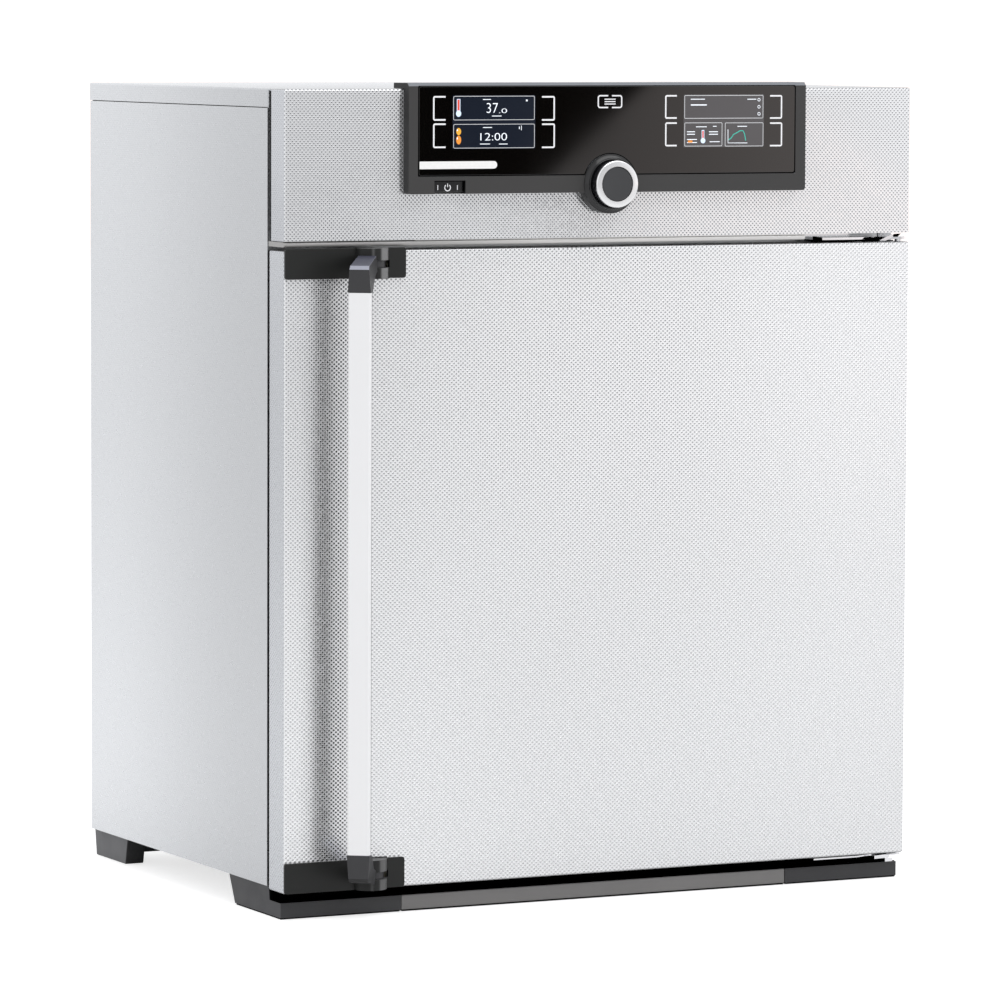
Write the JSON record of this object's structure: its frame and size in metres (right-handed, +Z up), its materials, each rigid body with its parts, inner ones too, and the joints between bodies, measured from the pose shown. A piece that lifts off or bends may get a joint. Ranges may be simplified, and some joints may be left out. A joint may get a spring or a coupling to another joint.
{
  "type": "refrigerated incubator",
  "caption": "Front-door laboratory incubator cabinet in textured stainless steel, with a vertical grip handle, touch panel with turn-and-push knob, inner glass door and rear cooling unit.",
  "frame": {"origin": "middle of the bounding box on the floor plane, under the cabinet", "axes": "+Z up, -Y towards the user who faces the door, +X to that user's right"},
  "size_m": [0.745, 0.737, 0.8702],
  "materials": {
    "textured_steel": "satin",
    "plain_steel": "satin",
    "chamber_steel": "satin",
    "edge_grey": "satin",
    "dark_plastic": "satin",
    "lever_plastic": "satin",
    "grip_bar": "satin",
    "panel_grey": "satin",
    "black_glass": "polished",
    "display": "gloss",
    "knob_silver": "gloss",
    "knob_black": "gloss",
    "knob_grey": "satin",
    "foot_plastic": "matte",
    "plinth_grey": "satin",
    "black_steel": "matte",
    "hinge_chrome": "polished",
    "seal_rubber": "matte",
    "insulation": "matte",
    "clear_glass": "polished",
    "circuit_green": "satin",
    "sink_aluminium": "satin",
    "ceramic_white": "matte",
    "fan_black": "satin",
    "screw_steel": "satin"
  },
  "bodies": {
    "root": {"left_side_panel": "textured_steel", "right_side_panel": "textured_steel", "top_cover": "textured_steel", "rear_panel": "plain_steel", "bottom_plate": "plain_steel", "front_frame": "plain_steel", "front_fascia": "textured_steel", "fascia_edge_strip": "edge_grey", "front_left_foot": "foot_plastic", "front_right_foot": "foot_plastic", "front_plinth_strip": "plinth_grey", "rear_left_foot": "foot_plastic", "rear_right_foot": "foot_plastic", "rear_crossbar": "black_steel", "panel_frame": "panel_grey", "panel_glass": "black_glass", "left_display": "display", "right_display": "display", "knob_collar": "knob_black", "control_board": "circuit_green", "power_supply": "fan_black", "mains_inlet": "fan_black", "network_port": "fan_black", "upper_hinge_arm": "hinge_chrome", "lower_hinge_arm": "hinge_chrome", "glass_door_gasket": "seal_rubber", "chamber_liner": "chamber_steel", "chamber_insulation": "insulation", "air_baffle": "chamber_steel", "shelf_lower": "plain_steel", "shelf_upper": "plain_steel", "temperature_sensor": "plain_steel", "fan_motor": "fan_black", "inner_heat_sink": "sink_aluminium", "peltier_modules": "ceramic_white", "outer_heat_sink": "sink_aluminium", "cooling_fan_frame": "fan_black", "rear_housing": "black_steel"},
    "door": {"door_outer_shell": "textured_steel", "door_insulation": "insulation", "door_inner_panel": "chamber_steel", "door_gasket": "seal_rubber", "handle_bracket_top": "dark_plastic", "handle_bracket_bottom": "dark_plastic", "handle_pin_top": "screw_steel", "handle_pin_bottom": "screw_steel"},
    "handle": {"handle_lever_top": "lever_plastic", "handle_lever_bottom": "lever_plastic", "handle_bar": "grip_bar"},
    "glass_door": {"glass_pane": "clear_glass", "glass_knob": "hinge_chrome", "glass_shoe_top": "hinge_chrome", "glass_shoe_bottom": "hinge_chrome"},
    "encoder": {"encoder_shaft": "screw_steel"},
    "knob": {"knob_ring": "knob_silver", "knob_cap": "knob_grey"},
    "power_key": {"power_button": "knob_black"},
    "circulation_rotor": {"circulation_fan": "plain_steel"},
    "cooling_rotor": {"cooling_fan_rotor": "fan_black"}
  },
  "joints": [
    {"name": "door_hinge", "type": "hinge", "parent": "root", "child": "door", "pos_m": [0.365, -0.29352, 0.35], "axis": [0, 0, 1], "range_deg": [0, 115]},
    {"name": "glass_door_hinge", "type": "hinge", "parent": "root", "child": "glass_door", "pos_m": [0.301, -0.25802, 0.36], "axis": [0, 0, 1], "range_deg": [0, 92]},
    {"name": "handle_turn", "type": "hinge", "parent": "door", "child": "handle", "pos_m": [-0.2736, -0.30552, 0.364], "axis": [0, 0, 1], "range_deg": [0, 60]},
    {"name": "knob_push", "type": "slide", "parent": "root", "child": "encoder", "axis": [0, 1, 0], "range_m": [0, 0.002], "stiffness_N_per_m": 800},
    {"name": "knob_turn", "type": "hinge", "parent": "encoder", "child": "knob", "pos_m": [0, -0.32552, 0.7637], "axis": [0, -1, 0], "continuous": true},
    {"name": "power_press", "type": "slide", "parent": "root", "child": "power_key", "axis": [0, 1, 0], "range_m": [0, 0.001], "stiffness_N_per_m": 300},
    {"name": "circulation_fan_spin", "type": "hinge", "parent": "root", "child": "circulation_rotor", "pos_m": [0, 0.12048, 0.22], "axis": [0, 1, 0], "continuous": true},
    {"name": "cooling_fan_spin", "type": "hinge", "parent": "root", "child": "cooling_rotor", "pos_m": [0, 0.27798, 0.4], "axis": [0, 1, 0], "continuous": true}
  ],
  "couplings": [
    {"joint": "glass_door_hinge", "follows": "door_hinge", "ratio": 0.8}
  ]
}
